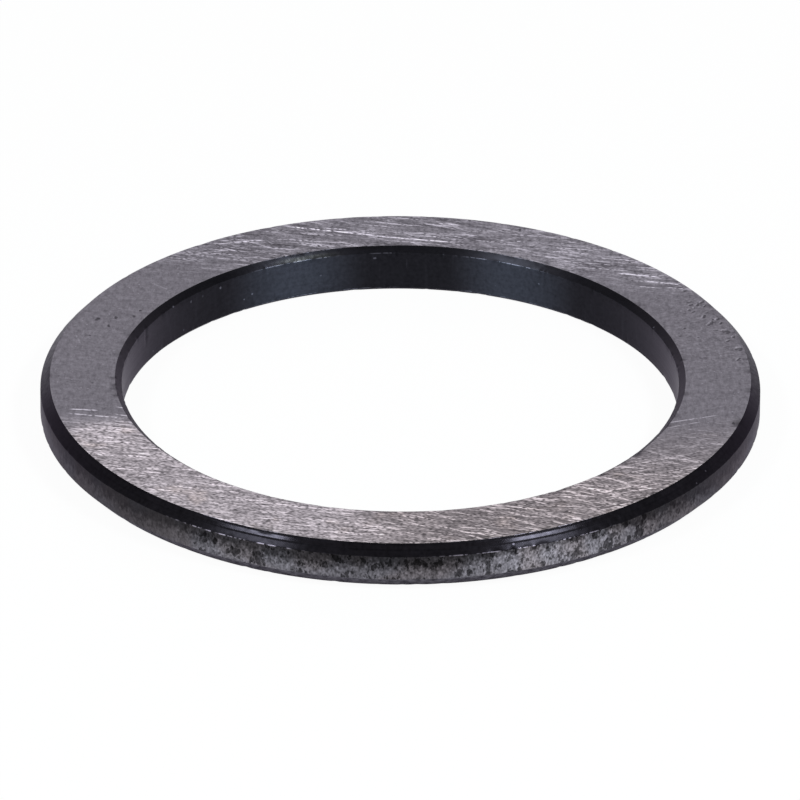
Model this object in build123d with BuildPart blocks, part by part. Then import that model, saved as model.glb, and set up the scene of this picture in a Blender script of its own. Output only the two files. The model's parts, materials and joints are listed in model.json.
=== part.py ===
"""Shim ring: a flat steel spacer ring, turned to size and then ground on both faces.

Millimetres, +Z up. The origin is the centre of the underside, and +Z runs along the bore
towards the upper face, the one with the wider chamfer on its bore edge.
"""
from build123d import *

import os

# Driving sizes: the shaft's bore, the width of the flat ring around it, and the gauge height
bore_diameter = 58.0
ring_width = 8.5
thickness = 5.0

# Lead-in on the rim at the upper face: how far it runs in across the face and down the rim
upper_rim_chamfer_in = 1.0
upper_rim_chamfer_down = 1.1

# Lead-in on the bore at the upper face: how far it runs out across the face and down the bore
upper_bore_chamfer_out = 0.7
upper_bore_chamfer_down = 0.55

# The underside: a broad 45 degree lead-in on the rim, and only a broken edge on the bore
lower_rim_chamfer = 1.3
lower_bore_chamfer = 0.35

bore_radius = bore_diameter / 2
rim_radius = bore_radius + ring_width

with BuildPart() as shim_ring:
    # The blank, parted off as a plain flat ring
    with BuildSketch(Plane.XY):
        Circle(rim_radius)
        Circle(bore_radius, mode=Mode.SUBTRACT)
    extrude(amount=thickness)

    # Upper face: its longest edge is the rim's, and its shortest is the bore's
    upper_face = shim_ring.faces().sort_by(Axis.Z)[-1]
    chamfer(
        upper_face.edges().sort_by(SortBy.LENGTH)[-1],
        length=upper_rim_chamfer_in,
        length2=upper_rim_chamfer_down,
        reference=upper_face,
    )
    upper_face = shim_ring.faces().sort_by(Axis.Z)[-1]
    chamfer(
        upper_face.edges().sort_by(SortBy.LENGTH)[0],
        length=upper_bore_chamfer_out,
        length2=upper_bore_chamfer_down,
        reference=upper_face,
    )

    # Underside, chosen in the same way
    underside = shim_ring.faces().sort_by(Axis.Z)[0]
    chamfer(underside.edges().sort_by(SortBy.LENGTH)[-1], length=lower_rim_chamfer)
    underside = shim_ring.faces().sort_by(Axis.Z)[0]
    chamfer(underside.edges().sort_by(SortBy.LENGTH)[0], length=lower_bore_chamfer)

shim_ring.part.label = "shim_ring"

os.makedirs("parts", exist_ok=True)
export_step(shim_ring.part, "parts/shim_ring.step")
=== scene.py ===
import json
import math

import bpy
import numpy as np
from mathutils import Matrix, Vector

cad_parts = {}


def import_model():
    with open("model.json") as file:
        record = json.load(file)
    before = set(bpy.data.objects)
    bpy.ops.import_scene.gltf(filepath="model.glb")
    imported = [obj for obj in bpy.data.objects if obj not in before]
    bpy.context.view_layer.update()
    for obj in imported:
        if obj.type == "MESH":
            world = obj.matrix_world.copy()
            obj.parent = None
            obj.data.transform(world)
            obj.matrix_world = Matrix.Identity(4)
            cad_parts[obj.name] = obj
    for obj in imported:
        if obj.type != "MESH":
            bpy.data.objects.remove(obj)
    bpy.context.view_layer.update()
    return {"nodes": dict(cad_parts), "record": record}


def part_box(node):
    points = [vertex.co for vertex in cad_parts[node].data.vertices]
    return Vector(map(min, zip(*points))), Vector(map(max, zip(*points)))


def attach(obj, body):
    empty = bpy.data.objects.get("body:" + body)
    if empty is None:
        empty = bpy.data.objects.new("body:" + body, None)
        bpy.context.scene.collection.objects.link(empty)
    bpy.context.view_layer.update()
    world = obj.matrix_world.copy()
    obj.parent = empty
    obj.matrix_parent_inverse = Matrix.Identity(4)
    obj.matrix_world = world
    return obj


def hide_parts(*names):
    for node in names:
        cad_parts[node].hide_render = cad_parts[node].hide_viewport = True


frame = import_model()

MM = 0.001

# ---------------------------------------------------------------- sizes, in millimetres
NODE = "shim_ring"
EDGE_BREAK = 0.06            # how far each turned edge is rounded off, along both of its sides
EDGE_POINTS = 4              # points on each rounded edge
COLUMNS = 1420               # sections around the ring
GRID_STEPS = {               # strips across each side of the section
    "lower_bore_edge": 2,
    "bore": 7,
    "upper_bore_edge": 4,
    "upper_face": 9,
    "upper_rim_edge": 6,
    "rim": 8,
    "lower_rim_edge": 3,
    "underside": 3,
}


def mount(name):
    """The mount's height on the axis, radius and length, in millimetres."""
    found = next(m for m in frame["record"]["mounts"] if m["name"] == name)
    return found["pos_m"][2] / MM, found["dims"]["r_mm"], found["dims"]["length_mm"]


RIM_RADIUS = mount("rim")[1]

# The corners of the section, in the order in which section_corners gives them
UNDER_BORE, BORE_FOOT, BORE_TOP, FACE_INSIDE, FACE_OUTSIDE, RIM_TOP, RIM_FOOT, UNDER_RIM = range(8)


def section_corners():
    """The eight corners of the ring's section as (radius, height) in millimetres.

    They run up the bore, out across the upper face, down the rim and back under the ring.
    The two walls come from the mounts, and the faces' radii from the CAD ring itself.
    """
    vertices = frame["nodes"][NODE].data.vertices
    place = np.empty(len(vertices) * 3, dtype=np.float32)
    vertices.foreach_get("co", place)
    place = place.reshape(-1, 3) / MM
    radius, height = np.hypot(place[:, 0], place[:, 1]), place[:, 2]
    top, bottom = height.max(), height.min()
    on_top = radius[height > top - 0.01]
    on_bottom = radius[height < bottom + 0.01]
    bore_z, bore_r, bore_length = mount("bore")
    rim_z, rim_r, rim_length = mount("rim")
    return np.array([
        (on_bottom.min(), bottom),
        (bore_r, bore_z - bore_length / 2),
        (bore_r, bore_z + bore_length / 2),
        (on_top.min(), top),
        (on_top.max(), top),
        (rim_r, rim_z + rim_length / 2),
        (rim_r, rim_z - rim_length / 2),
        (on_bottom.max(), bottom),
    ])


def section_line(corners):
    """The section's outline with its corners rounded, and the side that each strip lies on.

    Each corner is a quadratic curve between two points EDGE_BREAK away from it along its
    two sides, (1-t)^2 a + 2t(1-t) c + t^2 b, and each side is divided evenly between them.
    Returns the points, the side number of the strip that starts at each point, and each
    point's distance from the nearest corner.
    """
    count = len(corners)
    step = np.roll(corners, -1, axis=0) - corners
    way = step / np.linalg.norm(step, axis=1)[:, None]
    t = np.linspace(0, 1, EDGE_POINTS)[:, None]
    points, sides = [], []
    for side, strips in enumerate(GRID_STEPS.values()):
        corner, following = corners[side], corners[(side + 1) % count]
        before = corner - way[side - 1] * EDGE_BREAK
        after = corner + way[side] * EDGE_BREAK
        points.append((1 - t) ** 2 * before + 2 * t * (1 - t) * corner + t ** 2 * after)
        half = EDGE_POINTS // 2
        sides += [(side - 1) % count] * half + [side] * (EDGE_POINTS - half)
        share = np.linspace(0, 1, strips + 1)[1:-1, None]
        points.append(after + share * (following - way[side] * EDGE_BREAK - after))
        sides += [side] * (strips - 1)
    points = np.concatenate(points)
    gaps = np.linalg.norm(points[:, None, :] - corners[None, :, :], axis=2)
    return points, np.array(sides), gaps.min(axis=1)


def section_normals(points):
    """The outward normals of the outline: its direction turned a quarter turn left."""
    along = np.roll(points, -1, axis=0) - np.roll(points, 1, axis=0)
    normals = np.stack([-along[:, 1], along[:, 0]], axis=1)
    return normals / np.linalg.norm(normals, axis=1)[:, None]


# The finish on each side of the section, in the order of FINISHES further down
FACE, BORE, CHAMFER, RIM, FOOT = range(5)
SIDE_FINISH = np.array([BORE, BORE, BORE, FACE, CHAMFER, RIM, FOOT, FACE], dtype=np.int32)

# Knocks that stand out: (degrees around from +X, section corner or (radius, height),
# length along the ring, width across it, depth), in millimetres
KNOCKS = [
    (344, FACE_OUTSIDE, 0.8, 0.28, 0.10),
    (248, FACE_OUTSIDE, 1.0, 0.26, 0.08),
    (314, FACE_INSIDE, 0.5, 0.42, 0.10),
    (326, FACE_INSIDE, 0.9, 0.48, 0.10),
    (303, FACE_INSIDE, 0.5, 0.34, 0.08),
    (111.3, FACE_INSIDE, 0.35, 0.20, 0.08),
    (109.5, BORE_TOP, 0.8, 0.18, 0.06),
    (114.5, BORE_TOP, 0.5, 0.16, 0.06),
    (91, BORE_TOP, 0.22, 0.30, 0.08),
    (69, BORE_TOP, 0.6, 0.18, 0.05),
    (157, (29.0, 3.5), 0.30, 0.40, 0.10),
    (314.5, (37.15, 4.3), 0.25, 0.20, 0.06),
    (307, (37.1, 4.4), 0.30, 0.20, 0.05),
    (293, RIM_TOP, 0.6, 0.25, 0.07),
    (285, RIM_TOP, 0.5, 0.25, 0.06),
    (262, RIM_TOP, 0.7, 0.20, 0.06),
]
NICKS_PER_EDGE = 46
NICK_LENGTHS = (0.15, 0.60)  # shortest and longest
NICK_DEPTHS = (0.015, 0.050)
NICK_WIDTH = 0.16
NICK_SEED = 11
BARE_DEPTH = 0.06            # a knock this deep shows fully in the finishes


def all_knocks(corners):
    """The knocks above, and small nicks scattered at random along every turned edge."""
    rng = np.random.default_rng(NICK_SEED)
    placed = []
    for turn, where, length, width, depth in KNOCKS:
        place = corners[where] if isinstance(where, int) else np.array(where)
        placed.append((math.radians(turn), place, length, width, depth))
    for corner in corners:
        turns = rng.uniform(0, 2 * math.pi, NICKS_PER_EDGE)
        lengths = rng.uniform(*NICK_LENGTHS, NICKS_PER_EDGE)
        depths = rng.uniform(*NICK_DEPTHS, NICKS_PER_EDGE)
        placed += [(turn, corner, length, NICK_WIDTH, depth)
                   for turn, length, depth in zip(turns, lengths, depths)]
    return placed


def ring_mesh():
    """The ring as a grid: the rounded section carried round the axis.

    A point is (r cos a, r sin a, z) for the section point (r, z) and the angle a. Each
    knock then pushes the surface inwards along the section's normal by
    depth * exp(-(arc / length)^2 - (distance across / width)^2).
    """
    corners = section_corners()
    points, sides, from_edge = section_line(corners)
    normals = section_normals(points)
    angle = np.linspace(0, 2 * math.pi, COLUMNS, endpoint=False)
    push = np.zeros((COLUMNS, len(points)))
    hurt = np.zeros_like(push)
    for turn, place, long, wide, depth in all_knocks(corners):
        arc = np.angle(np.exp(1j * (angle - turn))) * place[0]
        across = np.linalg.norm(points - place, axis=1)
        weight = np.exp(-((arc[:, None] / long) ** 2) - (across[None, :] / wide) ** 2)
        push = np.maximum(push, depth * weight)
        hurt = np.maximum(hurt, weight * min(1.0, depth / BARE_DEPTH))
    radius = points[None, :, 0] - normals[None, :, 0] * push
    height = points[None, :, 1] - normals[None, :, 1] * push
    place = np.stack([radius * np.cos(angle)[:, None], radius * np.sin(angle)[:, None], height], axis=2)
    rows = len(points)
    a = np.arange(COLUMNS)[:, None]
    s = np.arange(rows)[None, :]
    a_next, s_next = (a + 1) % COLUMNS, (s + 1) % rows
    quads = np.stack([a * rows + s, a * rows + s_next, a_next * rows + s_next, a_next * rows + s], axis=2)
    mesh = bpy.data.meshes.new("ground_ring")
    mesh.from_pydata((place.reshape(-1, 3) * MM).tolist(), [], quads.reshape(-1, 4).tolist())
    mesh.polygons.foreach_set("use_smooth", np.ones(COLUMNS * rows, dtype=bool))
    mesh.polygons.foreach_set("material_index", np.tile(SIDE_FINISH[sides], COLUMNS))
    for name, values in (
        ("from_edge", np.tile(from_edge, COLUMNS)),
        ("knock", hurt.ravel()),
    ):
        layer = mesh.attributes.new(name, "FLOAT", "POINT")
        layer.data.foreach_set("value", values.astype(np.float32))
    mesh.update()
    return mesh


# ---------------------------------------------------------------- shader arithmetic
class Value:
    """A socket that adds Math nodes when it is used in an expression."""

    def __init__(self, nodes, socket):
        self.nodes, self.socket = nodes, socket

    def _math(self, operation, *values):
        return self.nodes.node("ShaderNodeMath", {"operation": operation}, dict(enumerate(values)))

    def __add__(self, other):
        return self._math("ADD", self, other)

    def __radd__(self, other):
        return self._math("ADD", other, self)

    def __sub__(self, other):
        return self._math("SUBTRACT", self, other)

    def __rsub__(self, other):
        return self._math("SUBTRACT", other, self)

    def __mul__(self, other):
        return self._math("MULTIPLY", self, other)

    def __rmul__(self, other):
        return self._math("MULTIPLY", other, self)

    def __truediv__(self, other):
        return self._math("DIVIDE", self, other)

    def __pow__(self, other):
        return self._math("POWER", self, other)

    def __abs__(self):
        return self._math("ABSOLUTE", self)

    def high(self, other):
        return self._math("MAXIMUM", self, other)

    def low(self, other):
        return self._math("MINIMUM", self, other)


class Nodes:
    """A node tree under construction, emptied first."""

    def __init__(self, owner):
        owner.use_nodes = True
        self.tree = owner.node_tree
        self.tree.nodes.clear()

    def node(self, kind, settings, sockets, output=0):
        """Adds a node: its settings first, then values or links for its sockets."""
        made = self.tree.nodes.new(kind)
        for name, value in settings.items():
            setattr(made, name, value)
        for key, value in sockets.items():
            if isinstance(value, Value):
                self.tree.links.new(value.socket, made.inputs[key])
            else:
                made.inputs[key].default_value = value
        return Value(self, made.outputs[output]) if made.outputs else None


class Finish(Nodes):
    """A metal finish, with the few nodes that the finishes below are made of.

    x, y, z and radius are in millimetres in the ring's own frame.
    """

    def __init__(self, name):
        self.material = bpy.data.materials.new(name)
        super().__init__(self.material)
        place = self.node("ShaderNodeTexCoord", {}, {}, "Object")
        self.place = self.node("ShaderNodeVectorMath", {"operation": "SCALE"}, {0: place, "Scale": 1 / MM})
        self.x, self.y, self.z = (
            self.node("ShaderNodeSeparateXYZ", {}, {0: self.place}, axis) for axis in "XYZ")
        self.radius = (self.x * self.x + self.y * self.y) ** 0.5
        self.from_edge = self.node("ShaderNodeAttribute", {"attribute_name": "from_edge"}, {}, "Fac")
        self.knock = self.node("ShaderNodeAttribute", {"attribute_name": "knock"}, {}, "Fac")

    def vector(self, x, y, z):
        return self.node("ShaderNodeCombineXYZ", {}, {0: x, 1: y, 2: z})

    def noise(self, place, scale=1.0, detail=0.0, roughness=0.5):
        sockets = {"Vector": place, "Scale": scale, "Detail": detail, "Roughness": roughness}
        return self.node("ShaderNodeTexNoise", {}, sockets)

    def cells(self, place, scale=1.0):
        """Distance from the nearest of many scattered points."""
        return self.node("ShaderNodeTexVoronoi", {}, {"Vector": place, "Scale": scale}, "Distance")

    def rise(self, value, start, end):
        """0 at start and before it, 1 at end and past it, eased between. start may be the larger."""
        sockets = {0: value, 1: start, 2: end, 3: 0.0, 4: 1.0}
        if start > end:
            sockets = {0: value, 1: end, 2: start, 3: 1.0, 4: 0.0}
        return self.node("ShaderNodeMapRange", {"interpolation_type": "SMOOTHSTEP"}, sockets)

    def stretched(self, along, across, seed):
        """Noise on the walls, with cells of along by across millimetres, across being up the axis."""
        turns = RIM_RADIUS / along
        x, y = self.x / self.radius * turns, self.y / self.radius * turns
        return self.noise(self.vector(x, y, self.z / across + seed))

    def stretch(self, place, x, y, z):
        return self.node("ShaderNodeVectorMath", {"operation": "MULTIPLY"}, {0: place, 1: (x, y, z)})

    def warped(self, scale, amount):
        """The place shifted every way by up to about half of amount millimetres, for ragged outlines."""
        sockets = {"Vector": self.place, "Scale": scale, "Detail": 1.0}
        shift = self.node("ShaderNodeTexNoise", {}, sockets, "Color")
        shift = self.node("ShaderNodeVectorMath", {"operation": "SCALE"}, {0: shift, "Scale": amount})
        return self.node("ShaderNodeVectorMath", {"operation": "ADD"}, {0: self.place, 1: shift})

    def blend(self, share, first, second):
        """From the colour first to the colour second by share."""
        return self.node("ShaderNodeMix", {"data_type": "RGBA"}, {0: share, 6: first, 7: second}, 2)

    def shade(self, colour, amount):
        """A colour times a number that varies over the surface."""
        grey = self.node("ShaderNodeCombineColor", {}, {0: amount, 1: amount, 2: amount})
        return self.node("ShaderNodeMix", {"data_type": "RGBA", "blend_type": "MULTIPLY"},
                         {0: 1.0, 6: colour, 7: grey}, 2)

    def metal(self, colour, roughness, height, relief, lay=0.0, edge_on=0.65):
        """Ends the material. height is the bump, with relief in millimetres.

        lay is how strongly tool lines that run around the ring spread its glints up and
        down, and edge_on how much of a clean metal's glint is left seen edge on.
        """
        normal = self.node("ShaderNodeBump", {}, {"Height": height, "Distance": relief * MM})
        shader = self.node("ShaderNodeBsdfPrincipled", {}, {
            "Base Color": colour, "Roughness": roughness, "Metallic": 1.0, "Normal": normal,
            "Anisotropic": lay, "Anisotropic Rotation": 0.25,
            "Specular Tint": rgb(edge_on * 1.04, edge_on * 0.98, edge_on * 1.09)})
        self.node("ShaderNodeOutputMaterial", {}, {"Surface": shader})
        return self.material


def rgb(red, green, blue):
    return (red, green, blue, 1.0)


# ---------------------------------------------------------------- the ring's finishes
COOL_STEEL = rgb(1.03, 0.98, 1.11)
WARM_STEEL = rgb(1.09, 0.97, 0.99)
BROWN_STEEL = rgb(1.13, 0.965, 0.93)
BLACK_OXIDE = rgb(1.04, 0.96, 1.22)
DARK_OXIDE = rgb(0.99, 0.985, 1.26)
# the hue of the painted lamp reflections on the bore
BLUE_REFLECTION_TINT = rgb(0.90, 1.00, 1.36)
GREY_OXIDE = rgb(0.98, 1.00, 1.06)
COOL_OXIDE = rgb(1.02, 0.98, 1.12)
WARM_OXIDE = rgb(1.07, 0.975, 1.07)

# Single marks on the upper face, in millimetres: bright scratches from one end to the other
# with their width and strength, dark dents with their half-lengths along x and y, and
# bruises, darkened inside as painted shade with a painted highlight along one side, with
# their half-lengths along and across a heading in degrees from +X, and that heading
SCRATCHES = [
    ((-13.0, 34.1), (-1.5, 31.7), 0.34, 1.3),
    ((-4.0, 32.0), (6.4, 30.3), 0.30, 1.1),
    ((-8.4, 33.6), (-5.6, 33.2), 0.34, 0.8),
    ((-20.0, 29.6), (-14.5, 30.8), 0.30, 0.7),
    ((-23.0, 27.2), (-17.6, 28.6), 0.26, 0.5),
    ((22.6, 23.6), (27.8, 22.6), 0.34, 1.1),
    ((25.4, 21.9), (29.8, 20.9), 0.30, 0.8),
    ((27.8, 20.4), (31.0, 19.9), 0.28, 0.6),
    ((24.0, 20.7), (27.2, 20.2), 0.26, 0.5),
    ((26.6, -10.4), (33.2, -8.2), 0.26, 0.45),
    ((27.2, -11.3), (31.6, -9.6), 0.24, 0.34),
    ((-34.4, -7.7), (-31.2, -8.0), 0.30, 0.9),
    ((-34.8, -8.6), (-28.0, -9.8), 0.26, 0.8),
    ((-29.6, -7.2), (-26.2, -7.9), 0.30, 0.7),
    ((-29.8, -8.7), (-25.6, -10.0), 0.26, 0.8),
    ((-33.6, -10.9), (-27.0, -12.2), 0.24, 0.6),
    ((-26.6, 21.0), (-24.0, 18.8), 0.26, 0.16),
    ((-34.0, 9.0), (-33.4, 6.6), 0.26, 0.15),
    ((10.8, -31.0), (15.2, -32.4), 0.24, 0.5),
    ((17.0, -28.6), (22.4, -30.2), 0.24, 0.5),
]
DENTS = [
    (-31.8, 12.4, 0.30, 0.40),
    (-29.9, 12.8, 0.24, 0.35),
    (-28.0, 13.1, 0.20, 0.30),
    (-27.4, 14.4, 0.18, 0.28),
    (-30.6, 10.9, 0.18, 0.28),
    (34.5, -10.1, 0.22, 0.45),
    (-13.5, -31.9, 0.34, 0.40),
    (-8.3, -32.6, 0.24, 0.32),
    (-21.0, -24.5, 0.26, 0.32),
    (17.5, -29.6, 0.20, 0.28),
    (-2.4, 31.6, 0.24, 0.30),
    (12.6, 33.4, 0.20, 0.34),
]
BRUISES = [
    (31.8, 13.6, 0.60, 0.20, 75.0),
    (32.5, 12.1, 0.85, 0.24, 55.0),
    (33.3, 13.2, 0.40, 0.22, 60.0),
    (33.6, 12.3, 0.34, 0.18, 70.0),
    (34.1, 10.3, 0.48, 0.52, 30.0),
    (34.9, 9.2, 0.38, 0.20, 60.0),
    (34.3, 8.3, 0.38, 0.16, 40.0),
    (31.7, 17.0, 0.42, 0.22, 60.0),
    (31.2, 16.4, 0.48, 0.18, 70.0),
    (30.5, 16.4, 0.42, 0.20, 50.0),
    (30.3, 17.0, 0.34, 0.18, 20.0),
    (30.9, 15.8, 0.28, 0.15, 80.0),
    (32.0, 16.2, 0.38, 0.14, 60.0),
    (30.3, 15.2, 0.26, 0.18, 50.0),
    (30.7, 14.8, 0.24, 0.16, 30.0),
    (32.2, 14.7, 0.34, 0.14, 20.0),
    (32.7, 12.9, 0.34, 0.16, 80.0),
    (32.9, 10.6, 0.40, 0.14, 5.0),
    (35.4, 6.4, 0.52, 0.42, 20.0),
    (35.3, 4.1, 0.42, 0.20, 60.0),
    (29.3, 20.4, 0.60, 0.16, 0.0),
    (29.9, 19.6, 0.38, 0.20, 30.0),
    (29.8, 11.1, 0.24, 0.15, 50.0),
]

# Light specks and one dark pit on the bore: (degrees around from +X, height, half-length
# around, half-height, how much lighter), in millimetres
BORE_MARKS = [
    (145.5, 4.42, 0.16, 0.12, 0.10),
    (139.6, 3.80, 0.12, 0.20, 0.07),
    (136.0, 3.76, 0.10, 0.16, 0.04),
    (131.0, 3.86, 0.16, 0.18, 0.10),
    (124.8, 1.50, 0.12, 0.12, 0.08),
    (122.8, 1.85, 0.14, 0.14, 0.09),
    (107.0, 2.36, 0.16, 0.12, 0.04),
    (95.5, 3.87, 0.22, 0.14, 0.07),
    (88.8, 3.20, 0.08, 0.70, 0.010),
    (59.8, 2.90, 0.14, 0.12, 0.06),
    (75.5, 0.40, 0.40, 0.10, 0.05),
    (156.0, 3.30, 0.20, 0.26, -0.012),
]


def towards(heading):
    """The x and y of a unit step along a heading in the ring's plane, in degrees from +X."""
    return math.cos(math.radians(heading)), math.sin(math.radians(heading))


def streaks(f, heading, length, width, seed):
    """Noise drawn out along a heading, 0 to 1."""
    c, s = towards(heading)
    along = f.x * c + f.y * s
    across = f.y * c - f.x * s
    return f.noise(f.vector(along / length, across / width, f.z * 7.3 + seed))


def bright_lines(f, heading, length, seed):
    """1 on thin lines along a heading, where single coarse grains of the wheel have cut."""
    return f.rise(streaks(f, heading, length, 0.24, seed), 0.64, 0.72)


def scratch(f, start, end, width):
    """1 on a straight mark from start to end, tapering at both."""
    long = math.hypot(end[0] - start[0], end[1] - start[1])
    c, s = (end[0] - start[0]) / long, (end[1] - start[1]) / long
    x = f.x - (start[0] + end[0]) / 2
    y = f.y - (start[1] + end[1]) / 2
    along = abs(x * c + y * s)
    across = abs(y * c - x * s)
    return f.rise(along, long * 0.5, long * 0.3) * f.rise(across, width * 0.5, width * 0.15)


def dent(f, ragged, x, y, half_x, half_y, heading=0.0):
    """1 inside a small oval, its first half-length along a heading. ragged shifts its outline."""
    c, s = towards(heading)
    along = (f.x - x) * c + (f.y - y) * s
    across = (f.y - y) * c - (f.x - x) * s
    far = (along / half_x) ** 2.0 + (across / half_y) ** 2.0 + ragged
    return f.rise(far, 1.0, 0.2)


def ground_steel():
    """Surface-ground faces: bright grinding marks front and back, smooth at the two sides. A painted sheen
    lightens the front, most of all on its left, and a little the back.
    """
    f = Finish("ground_steel")
    patch = f.noise(f.place, 0.11, 2.0) - 0.5
    reach = f.y + patch * 6.0
    # front, back and left mark where the grinding marks are stronger, and also where the face is lightened
    # as a painted sheen
    faint = f.rise(f.x, 12.0, 24.0) * f.rise(f.y, -26.0, -9.0)
    front = f.rise(reach, -7.8, -13.5) * (1.0 - faint * 0.75)
    back = f.rise(reach + f.x * 0.09, 19.0, 27.0)
    left = f.rise(f.x + patch * 12.0, 6.0, -12.0)
    far_right = f.rise(f.x + f.y * 0.3 + patch * 8.0, 8.0, 16.0)

    crumbs = streaks(f, -14.0, 0.33, 0.20, 1.0)
    down_right = streaks(f, -13.0, 1.6, 0.19, 3.0)
    up_right = streaks(f, 17.0, 1.6, 0.19, 5.0)
    short = down_right + (up_right - down_right) * far_right
    drawn = streaks(f, -11.0, 2.2, 0.34, 11.0)
    skin = f.noise(f.vector(f.x / 0.48, f.y / 1.0, f.z), 1.0, 2.0, 0.85)
    broad = streaks(f, -11.0, 5.0, 1.2, 31.0)

    # The base tone: a painted sheen, strongest at the front left, over the steel's own colour
    tone = 0.172 + front * (0.050 + left * 0.142) + back * (0.010 + f.rise(f.x, 4.0, 12.0) * 0.028)
    tone = tone * (broad * 2.0) ** (front * 0.12 + back * 0.32 + 0.05)
    beaten = f.rise(f.x, 26.0, 31.0) * f.rise(f.y, -2.0, 5.0) * f.rise(f.y, 24.0, 20.0)
    tone = tone * (crumbs * 2.0) ** (front * 0.95 + back * 0.42 + beaten * 0.32)
    tone = tone * (short * 2.0) ** (front * 0.50 + 0.12)
    tone = tone * (drawn * 2.0) ** (back * 0.50)
    tone = tone * (skin * 2.0) ** (0.72 - front * 0.60)
    marks = bright_lines(f, -9.0, 4.5, 13.0)
    marks = marks + bright_lines(f, 21.0, 3.0, 17.0) * (far_right * front + back * 0.3)
    marks = marks + bright_lines(f, -26.0, 2.6, 21.0) * (front * (1.0 - left) + back * 0.6)
    broken = f.rise(crumbs, 0.24, 0.56)
    tone = tone + marks * broken * (0.015 + front * 0.34 + back * 0.26)
    for start, end, width, strength in SCRATCHES:
        tone = tone + scratch(f, start, end, width) * broken * strength * 0.55
    specks = f.rise(f.cells(f.vector(f.x * 1.1, f.y * 0.9, f.z)), 0.13, 0.06)
    tone = tone + specks * (1.0 - front) * 0.085

    hollow = f.rise(f.cells(f.vector(f.x * 0.40, f.y * 0.50, f.z + 5.0)), 0.08, 0.04)
    hollow = hollow + f.rise(f.cells(f.vector(f.x * 0.9, f.y * 0.9, f.z + 9.0)), 0.13, 0.07) * front * 0.6
    ragged = (f.noise(f.place, 2.6) - 0.5) * 2.6
    for x, y, half_x, half_y in DENTS:
        hollow = hollow + dent(f, ragged, x, y, half_x, half_y)
    # A bruise's inside is darkened as painted shade, and a copy shifted to one side is lightened as a
    # painted highlight on its lip
    for x, y, long, wide, heading in BRUISES:
        c, s = towards(heading)
        hollow = hollow + dent(f, ragged, x, y, long, wide, heading)
        lip = dent(f, ragged, x - s * wide, y + c * wide, long * 0.8, wide * 0.8, heading)
        tone = tone + lip * 0.12
    hollow = hollow.low(1.0)
    tone = tone * (1.0 - hollow * 0.58) * (1.0 - f.knock * 0.75)

    stain = f.rise(f.noise(f.place, 0.22, 3.0, 0.6), 0.54, 0.70)
    tint = f.blend(front * (0.85 - left * 0.3), COOL_STEEL, WARM_STEEL)
    tint = f.blend(stain * front * 0.5, tint, BROWN_STEEL)
    colour = f.shade(tint, tone)
    return f.metal(colour, 0.42 + hollow * 0.1, crumbs * 0.4 + short * 0.3 - hollow * 2.0, 0.008)


def turned_to(f, heading, spread):
    """1 where the ring faces a heading in degrees from +X, fading out spread degrees to each side."""
    c, s = towards(heading)
    facing = (f.x * c + f.y * s) / f.radius
    return f.rise(facing, math.cos(math.radians(spread)), 1.0)


def painted_glint_lengths(f):
    """1 on the two lengths of the upper rim edge that face the lamps, where glints are painted on."""
    return turned_to(f, 244.0, 15.0).high(turned_to(f, 291.0, 17.0))


def worn_and_glinting_dashes(f, seed):
    """Short bright lengths of unlike strengths where the film has rubbed off a turned edge; the callers
    also strengthen them into painted glints where the edge faces the lamps.
    """
    long = f.rise(f.stretched(1.7, 3.0, seed), 0.38, 0.56)
    short = f.rise(f.stretched(0.36, 3.0, seed + 3.0), 0.36, 0.56)
    return f.rise(f.from_edge, 0.075, 0.03) * long * short


def blackened_chamfer():
    """The upper rim chamfer: black oxide on two smooth turned bands, greyer towards the two sides."""
    f = Finish("blackened_chamfer")
    corners = section_corners()
    top, bottom = corners[FACE_OUTSIDE][1], corners[RIM_TOP][1]
    wander = f.stretched(9.0, 9.0, 2.0) - 0.5
    down = (top - f.z) / (top - bottom) + wander * 0.06
    clean = turned_to(f, 270.0, 75.0)
    upper = f.rise(down, 0.16, 0.22) * f.rise(down, 0.47, 0.43) * clean
    lower = f.rise(down, 0.55, 0.61) * clean
    lines = f.stretched(12.0, 0.07, 0.0)
    film = f.noise(f.place, 0.16, 2.0)
    grime = f.noise(f.place, 2.2, 1.0)
    specks = f.rise(f.cells(f.place, 0.55), 0.085, 0.04)
    # Lighter and greyer towards the two sides of the ring
    greyer_sides = f.rise(f.y, -9.5, 17.0) * f.rise(f.y, 34.0, 20.0)
    tone = 0.0062 + f.rise(film, 0.45, 0.7) * 0.002 + (upper + lower * 0.6) * 0.0020
    tone = tone * (0.92 + lines * 0.16) * (grime * 2.0) ** 0.5
    tone = tone + greyer_sides * (0.112 - f.x * 0.0003) * (grime * 2.0) ** 1.2
    # Faint worn dashes all along the edge, with painted glints on them over the two lengths that face the
    # lamps
    tone = tone + worn_and_glinting_dashes(f, 4.0) * (0.006 + painted_glint_lengths(f) * 0.26) + specks * 0.05
    rough = 0.52 - upper * 0.36 - lower * 0.25 + (lines - 0.5) * 0.06
    height = lines * 0.1 + upper * 0.4 + lower * 0.4 - f.knock
    hue = f.blend(greyer_sides.low(0.25) * 4.0, BLACK_OXIDE, GREY_OXIDE)
    return f.metal(f.shade(hue, tone), rough, height, 0.004, lay=0.75)


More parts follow.
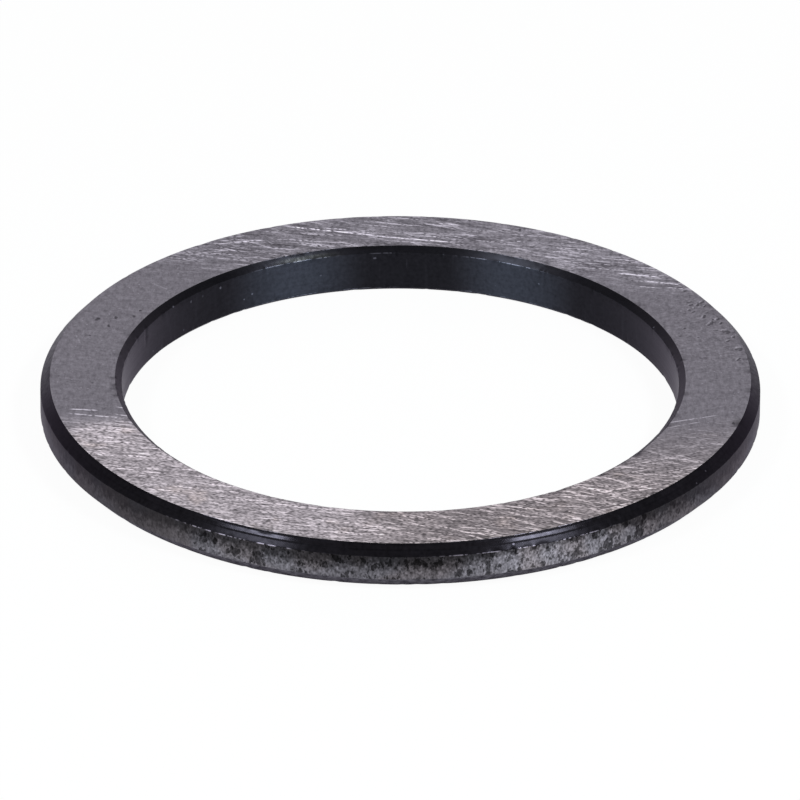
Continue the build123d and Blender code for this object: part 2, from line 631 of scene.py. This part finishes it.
def blackened_bore():
    """The bore and its two chamfers: black oxide over faint turned lines, with two bluish patches of
    painted lamp reflection.
    """
    f = Finish("blackened_bore")
    corners = section_corners()
    radius, wall_top = corners[BORE_TOP]
    top = corners[FACE_INSIDE][1]
    lines = f.stretched(14.0, 0.16, 0.0)
    # blue marks the two patches where the lamps' reflections are painted on, lighter and bluer
    blue = turned_to(f, 65.0, 16.0).high(turned_to(f, 113.0, 17.0))
    wall = f.rise(f.z, wall_top + 0.04, wall_top - 0.04)
    specks = f.rise(f.cells(f.place, 0.40), 0.060, 0.03)
    grain = f.noise(f.place, 2.6, 1.0)
    scuffs = f.rise(f.stretched(0.5, 5.0, 6.0), 0.60, 0.78)
    rubbed = turned_to(f, 110.0, 9.0)
    # thin marks the two arcs facing the lamps, where glints are painted on the top edge
    thin = turned_to(f, 67.0, 14.0).high(turned_to(f, 106.0, 20.0))
    lip = f.rise(f.z, top - 0.14, top - 0.34) * (1.0 - wall)
    crack = f.rise(abs(f.stretched(1.3, 0.6, 13.0) - 0.5), 0.05, 0.02)
    # blue adds the painted lamp reflections to the tone
    tone = (0.0155 + blue * 0.021) * (0.45 + wall * 0.55) * (0.94 + lines * 0.12) * (grain * 2.0) ** 0.35
    tone = tone + rubbed * lip * 0.008 * (grain * 2.0) ** 3.0 * (1.0 - crack * 0.8)
    # Worn dashes on the edge, strengthened as painted glints on the arcs facing the lamps, where the lip
    # is lightened too
    tone = tone + worn_and_glinting_dashes(f, 9.0) * (0.004 + thin * 0.09) + thin * lip * 0.003
    tone = tone + turned_to(f, 70.0, 34.0) * (1.0 - wall) * 0.004
    tone = tone + specks * 0.06 + scuffs * wall * 0.003
    for turn, height, half_arc, half_height, lighter in BORE_MARKS:
        c, s = towards(turn)
        around = ((f.x - radius * c) ** 2.0 + (f.y - radius * s) ** 2.0) / half_arc ** 2
        up = ((f.z - height) / half_height) ** 2.0
        tone = tone + f.rise(around + up, 1.0, 0.2) * lighter
    tone = tone.high(0.002)
    tone = tone * (1.0 - f.knock * 0.4)
    # The painted lamp reflections are tinted blue on the wall
    hue = f.blend(blue * wall, DARK_OXIDE, BLUE_REFLECTION_TINT)
    colour = f.shade(f.blend(rubbed * lip, hue, GREY_OXIDE), tone)
    rough = 0.38 + (lines - 0.5) * 0.06
    return f.metal(colour, rough, lines * 0.2 - f.knock, 0.004, lay=0.95, edge_on=0.85)


def worn_rim():
    """The rim: film worn through to mottled grey below, dark above, and pitted along the axis. Around 296
    degrees it is lightened further by a painted lamp reflection.
    """
    f = Finish("worn_rim")
    corners = section_corners()
    low, high = corners[RIM_FOOT][1], corners[RIM_TOP][1]
    up = (f.z - low) / (high - low)
    ragged = f.warped(2.0, 0.6)
    mottle = f.noise(f.vector(f.x * 2.4, f.y * 2.4, f.z * 1.7), 1.0, 2.0, 0.6)
    fine = f.noise(f.vector(f.x * 5.0, f.y * 5.0, f.z * 3.6), 1.0, 0.0)
    sizes = (f.noise(f.place, 0.8) - 0.5) * 1.0
    large = f.cells(f.stretch(ragged, 1.45, 1.45, 0.80)) + sizes
    small = f.cells(f.stretch(ragged, 3.0, 3.0, 1.6)) + sizes
    patch = f.noise(f.place, 0.13, 1.0) - 0.5
    front = f.rise(f.y - f.x * 0.12 + patch * 10.0, -24.0, -31.0)
    # Where the right lamp's reflection falls on the rim, painted in as lighter bare steel
    painted_sheen_right = turned_to(f, 296.0, 18.0)
    pits = (f.rise(large, 0.35, 0.25) + f.rise(small, 0.32, 0.22) * 0.8).low(1.0) * (0.2 + front * 0.8)
    rubbed = f.rise(1.0 - up + patch * 0.4 + (mottle - 0.5) * 0.9 + painted_sheen_right * 0.35, 0.18, 0.86)
    # Bare steel at the front, lighter still under the painted lamp reflection
    bare = 0.042 + front * (0.072 + painted_sheen_right * 0.060)
    tone = 0.032 + turned_to(f, 340.0, 24.0) * 0.010 + rubbed * bare
    tone = tone * (mottle * 2.0) ** (0.35 + front * 0.40) * (fine * 2.0) ** (0.25 + front * 0.45)
    tone = tone * (1.0 - pits * 0.72)
    # Worn dashes on the upper half, with painted glints on them over the two lengths that face the lamps
    tone = tone + worn_and_glinting_dashes(f, 4.0) * f.rise(up, 0.5, 0.9) * (0.008 + painted_glint_lengths(f) * 0.34)
    hue = f.blend(f.rise(f.noise(f.place, 0.30), 0.35, 0.65), COOL_OXIDE, WARM_OXIDE)
    rough = 0.42 + fine * 0.10
    height = mottle * 0.5 + fine * 0.3 - pits * 1.2
    return f.metal(f.shade(hue, tone), rough, height, 0.02, lay=0.85)


def scuffed_foot():
    """The lower rim chamfer: dull oxide, scuffed where it meets the rim. Its glint seen edge on is turned
    down low as painted shade from the floor beneath.
    """
    f = Finish("scuffed_foot")
    mottle = f.noise(f.vector(f.x * 1.6, f.y * 1.6, f.z * 0.8), 1.0, 2.0, 0.6)
    tone = 0.155 * (mottle * 2.0) ** 1.1
    # edge_on 0.25 darkens the edge-on glint as painted shade, where the chamfer looks down at the floor
    # beside the ring
    return f.metal(f.shade(COOL_OXIDE, tone), 0.5, mottle, 0.01, edge_on=0.25)


FINISHES = (ground_steel, blackened_bore, blackened_chamfer, worn_rim, scuffed_foot)

ring = bpy.data.objects.new("ground_shim_ring", ring_mesh())
bpy.context.scene.collection.objects.link(ring)
for finish in FINISHES:
    ring.data.materials.append(finish())
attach(ring, "root")
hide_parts(NODE)


# ---------------------------------------------------------------- floor, light and camera
FLOOR_HALF = 4.0             # metres
LAMP_COLOUR = (0.94, 1.02, 1.04)
CAMERA_ELEVATION = 27.9      # degrees above the floor
CAMERA_ROLL = 0.32           # degrees
CAMERA_LENS = 664.4          # millimetres, on a sensor 36 wide
CAMERA_DISTANCE = 41.04      # this and the next two are in outer radii of the ring
AIM_BELOW = 0.0075           # from the ring's centre to the middle of the view
AIM_LEFT = 0.0008


def looked_at(n, by_camera, by_glossy):
    """How far to mix towards plain white, for camera rays and for glossy and clear ones."""
    kinds = ("Camera", "Glossy", "Transmission")
    camera, glossy, clear = (n.node("ShaderNodeLightPath", {}, {}, f"Is {kind} Ray") for kind in kinds)
    return camera * by_camera + glossy.high(clear) * by_glossy


def floor():
    """White glossy board. What looks at it sees it white, and it keeps a trace of the shadow."""
    half = FLOOR_HALF
    mesh = bpy.data.meshes.new("floor")
    corners = [(-half, -half, 0), (half, -half, 0), (half, half, 0), (-half, half, 0)]
    mesh.from_pydata(corners, [], [(0, 1, 2, 3)])
    made = bpy.data.objects.new("floor", mesh)
    bpy.context.scene.collection.objects.link(made)
    material = bpy.data.materials.new("white_board")
    n = Nodes(material)
    board = n.node("ShaderNodeBsdfPrincipled", {}, {
        "Base Color": rgb(0.9, 0.9, 0.9), "Roughness": 0.30, "Specular IOR Level": 0.6})
    glow = n.node("ShaderNodeEmission", {}, {"Strength": 1.0})
    seen = n.node("ShaderNodeMixShader", {}, {0: looked_at(n, 0.95, 0.6), 1: board, 2: glow})
    n.node("ShaderNodeOutputMaterial", {}, {"Surface": seen})
    mesh.materials.append(material)


def world():
    """Soft grey light from all round, and white where it is looked at."""
    made = bpy.data.worlds.new("studio")
    bpy.context.scene.world = made
    n = Nodes(made)
    soft = n.node("ShaderNodeBackground", {}, {"Strength": 0.45})
    white = n.node("ShaderNodeBackground", {}, {"Color": rgb(1.0, 1.0, 1.0), "Strength": 1.0})
    seen = n.node("ShaderNodeMixShader", {}, {0: looked_at(n, 1.0, 1.0), 1: soft, 2: white})
    n.node("ShaderNodeOutputWorld", {}, {"Surface": seen})


def softbox(name, direction, distance, width, height, power):
    """A flat rectangular lamp that looks at the ring from a direction."""
    data = bpy.data.lights.new(name, "AREA")
    data.shape = "RECTANGLE"
    data.size = width
    data.size_y = height
    data.energy = power
    data.color = LAMP_COLOUR
    lamp = bpy.data.objects.new(name, data)
    bpy.context.scene.collection.objects.link(lamp)
    way = Vector(direction).normalized()
    lamp.location = way * distance
    lamp.rotation_mode = "QUATERNION"
    lamp.rotation_quaternion = way.to_track_quat("Z", "Y")


def camera():
    """Looks along +Y and down on the ring, from far off, turned a third of a degree."""
    low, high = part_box(NODE)
    radius = (high.x - low.x) / 2
    elevation, roll = math.radians(CAMERA_ELEVATION), math.radians(CAMERA_ROLL)
    back = Vector((0, -math.cos(elevation), math.sin(elevation)))
    right = Vector((1, 0, 0))
    up = back.cross(right)
    level_right = right * math.cos(roll) + up * math.sin(roll)
    level_up = up * math.cos(roll) - right * math.sin(roll)
    data = bpy.data.cameras.new("camera")
    data.sensor_width = 36.0
    data.lens = CAMERA_LENS
    made = bpy.data.objects.new("camera", data)
    bpy.context.scene.collection.objects.link(made)
    distance = CAMERA_DISTANCE * radius
    centre = (low + high) / 2 - (up * AIM_BELOW + right * AIM_LEFT) * radius
    spot = centre + back * distance
    data.clip_start, data.clip_end = distance * 0.1, distance * 10
    made.matrix_world = Matrix((level_right, level_up, back)).transposed().to_4x4()
    made.location = spot
    bpy.context.scene.camera = made


floor()
world()
softbox("left_lamp", (-0.530, -0.365, 0.766), 0.6, 0.16, 0.08, 1.4)
softbox("right_lamp", (0.530, -0.365, 0.766), 0.6, 0.16, 0.08, 1.9)
camera()
bpy.context.scene.view_settings.view_transform = "Standard"
